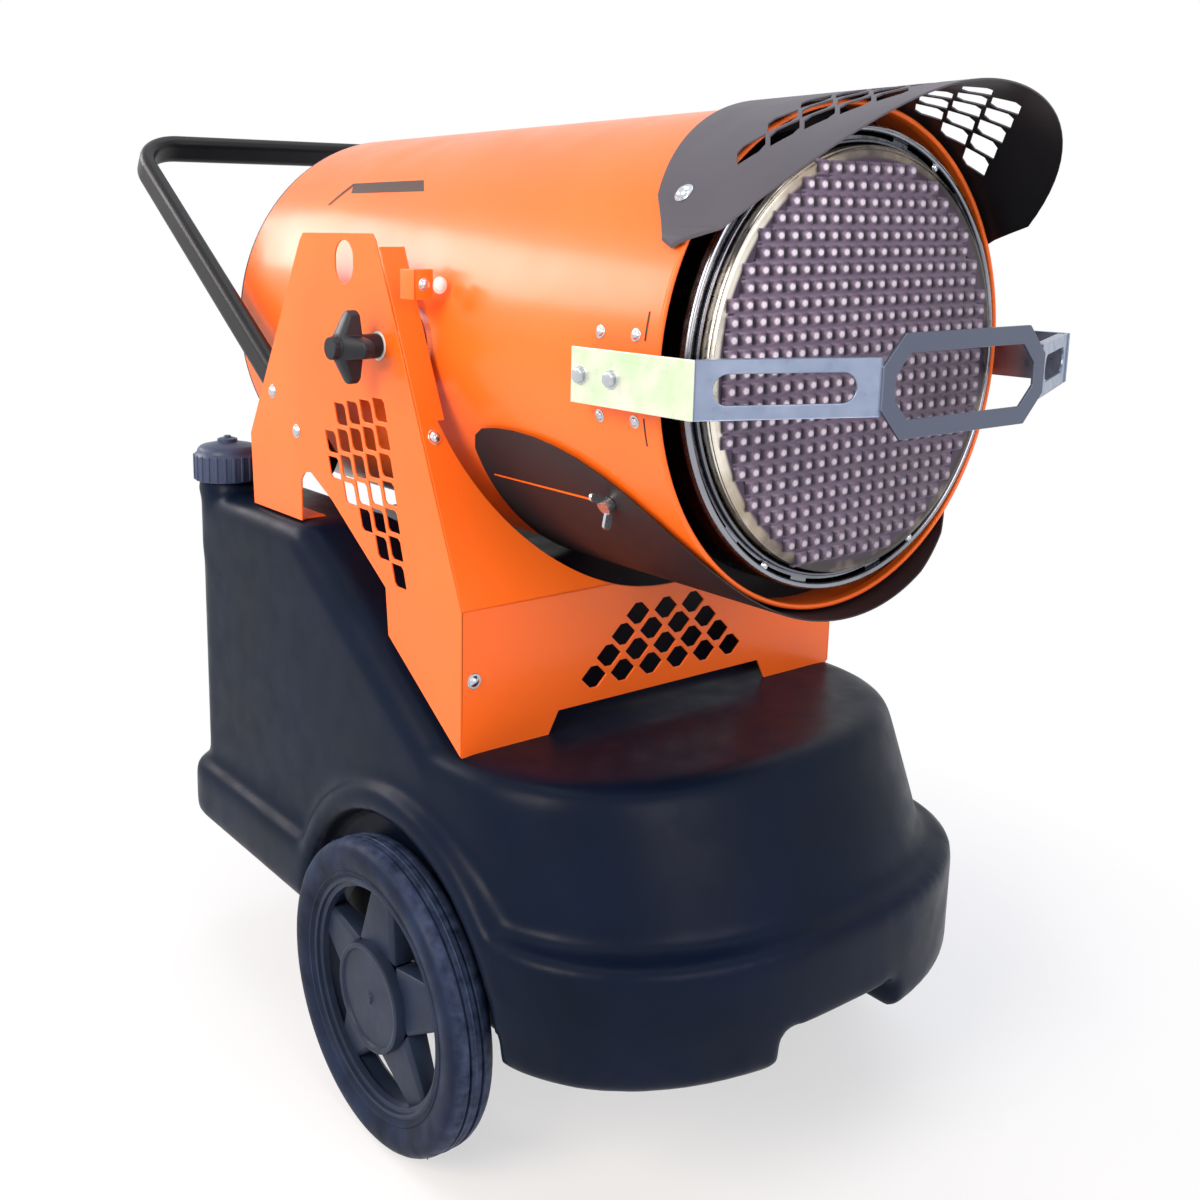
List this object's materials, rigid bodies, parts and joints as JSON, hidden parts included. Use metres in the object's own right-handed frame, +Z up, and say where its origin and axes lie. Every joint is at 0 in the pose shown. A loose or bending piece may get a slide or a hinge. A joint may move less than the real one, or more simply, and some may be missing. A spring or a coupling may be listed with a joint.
{
  "type": "infrared diesel heater",
  "caption": "Wheeled infrared heater: tilting drum with dimpled emitter, hood and guard on an orange stand over a moulded fuel tank with handle",
  "frame": {"origin": "the middle of the whole object's length and width, on the floor", "axes": "+Z up; the emitter faces -Y and the handle is at +Y; X is across, along the axle and the tilt axis"},
  "size_m": [0.632, 1.1255, 1.0216],
  "materials": {
    "orange_paint": "orange powder coat, satin",
    "graphite_paint": "dark graphite heat-resistant paint",
    "black_paint": "black powder coat",
    "tank_plastic": "bluish black rotomoulded polyethylene",
    "black_plastic": "black injection-moulded plastic",
    "red_plastic": "red rocker switch",
    "black_rubber": "black rubber",
    "tyre_rubber": "dark grey solid rubber tyre",
    "zinc_steel": "zinc-plated steel",
    "galvanised_steel": "galvanised sheet steel",
    "heat_steel": "heat-resistant stainless steel sheet",
    "emitter_steel": "dark oxidised stainless steel emitter plate",
    "cast_aluminium": "aluminium",
    "brass": "turned brass",
    "ceramic": "white glazed ceramic",
    "white_nylon": "white nylon bush"
  },
  "bodies": {
    "base": {"tank_body": "tank_plastic", "filler_neck": "tank_plastic", "tank_gasket": "black_rubber", "axle": "zinc_steel", "axle_saddles": "black_paint", "axle_washers": "zinc_steel", "castor_plate": "zinc_steel", "side_panel_left": "orange_paint", "side_panel_right": "orange_paint", "front_panel": "orange_paint", "stand_screws": "zinc_steel", "pivot_bushes": "white_nylon", "handle_tube": "black_paint", "handle_bolts": "zinc_steel"},
    "cap": {"fuel_cap": "black_plastic", "cap_grip": "black_plastic"},
    "wheel_left": {"wheel_rim_left": "black_plastic", "tyre_left": "tyre_rubber", "hub_disc_left": "black_plastic"},
    "wheel_right": {"wheel_rim_right": "black_plastic", "tyre_right": "tyre_rubber", "hub_disc_right": "black_plastic"},
    "castor": {"castor_fork": "zinc_steel", "castor_pin": "zinc_steel"},
    "castor_roller": {"castor_wheel": "tyre_rubber"},
    "drum": {"drum_shell": "orange_paint", "front_bulkhead": "graphite_paint", "rear_bulkhead": "heat_steel", "slotted_ring": "heat_steel", "emitter_pan": "heat_steel", "emitter_plate": "emitter_steel", "combustion_chamber": "heat_steel", "blast_tube": "heat_steel", "flame_disc": "heat_steel", "fuel_nozzle": "brass", "electrodes": "ceramic", "fan_housing": "cast_aluminium", "fan_motor": "cast_aluminium", "motor_cradle": "graphite_paint", "fuel_pump": "cast_aluminium", "burner_tray": "galvanised_steel", "transformer": "black_plastic", "rear_cover": "graphite_paint", "control_box": "black_plastic", "inlet_gland": "black_plastic", "hood": "graphite_paint", "hood_bolts": "zinc_steel", "deflector": "black_paint", "guard_strip": "galvanised_steel", "guard_brackets": "orange_paint", "drum_rivets": "zinc_steel", "pivot_studs": "zinc_steel"},
    "fan": {"fan_impeller": "cast_aluminium", "motor_shaft": "zinc_steel"},
    "switch": {"power_switch": "red_plastic"},
    "heat_control": {"heat_knob": "black_plastic"},
    "latch_left": {"latch_left": "zinc_steel"},
    "latch_right": {"latch_right": "zinc_steel"},
    "knob_left": {"knob_left": "black_plastic"},
    "knob_right": {"knob_right": "black_plastic"}
  },
  "joints": [
    {"name": "drum_tilt", "type": "hinge", "parent": "base", "child": "drum", "pos_m": [0, -0.086, 0.792], "axis": [1, 0, 0], "range_deg": [-5, 5]},
    {"name": "wheel_left_roll", "type": "hinge", "parent": "base", "child": "wheel_left", "pos_m": [-0.29, -0.154, 0.156], "axis": [1, 0, 0], "continuous": true},
    {"name": "wheel_right_roll", "type": "hinge", "parent": "base", "child": "wheel_right", "pos_m": [0.29, -0.154, 0.156], "axis": [1, 0, 0], "continuous": true},
    {"name": "castor_swivel", "type": "hinge", "parent": "base", "child": "castor", "pos_m": [0, 0.226, 0.15], "axis": [0, 0, 1], "continuous": true},
    {"name": "castor_roll", "type": "hinge", "parent": "castor", "child": "castor_roller", "pos_m": [0, 0.262, 0.0625], "axis": [1, 0, 0], "continuous": true},
    {"name": "cap_turn", "type": "hinge", "parent": "base", "child": "cap", "pos_m": [-0.24, 0.294, 0.62], "axis": [0, 0, 1], "continuous": true},
    {"name": "fan_spin", "type": "hinge", "parent": "drum", "child": "fan", "pos_m": [0, 0.096, 0.792], "axis": [0, 1, 0], "continuous": true},
    {"name": "switch_rock", "type": "hinge", "parent": "drum", "child": "switch", "pos_m": [-0.032, 0.322, 0.814], "axis": [1, 0, 0], "range_deg": [0, 12]},
    {"name": "heat_turn", "type": "hinge", "parent": "drum", "child": "heat_control", "pos_m": [0.034, 0.331, 0.806], "axis": [0, 1, 0], "range_deg": [0, 270]},
    {"name": "latch_left_turn", "type": "hinge", "parent": "drum", "child": "latch_left", "pos_m": [-0.19166, -0.354, 0.67684], "axis": [-0.8572, 0, -0.515], "continuous": true},
    {"name": "latch_right_turn", "type": "hinge", "parent": "drum", "child": "latch_right", "pos_m": [0.19166, -0.354, 0.67684], "axis": [0.8572, 0, -0.515], "continuous": true},
    {"name": "knob_left_turn", "type": "hinge", "parent": "drum", "child": "knob_left", "pos_m": [-0.27, -0.086, 0.792], "axis": [1, 0, 0], "continuous": true},
    {"name": "knob_right_turn", "type": "hinge", "parent": "drum", "child": "knob_right", "pos_m": [0.27, -0.086, 0.792], "axis": [1, 0, 0], "continuous": true}
  ]
}
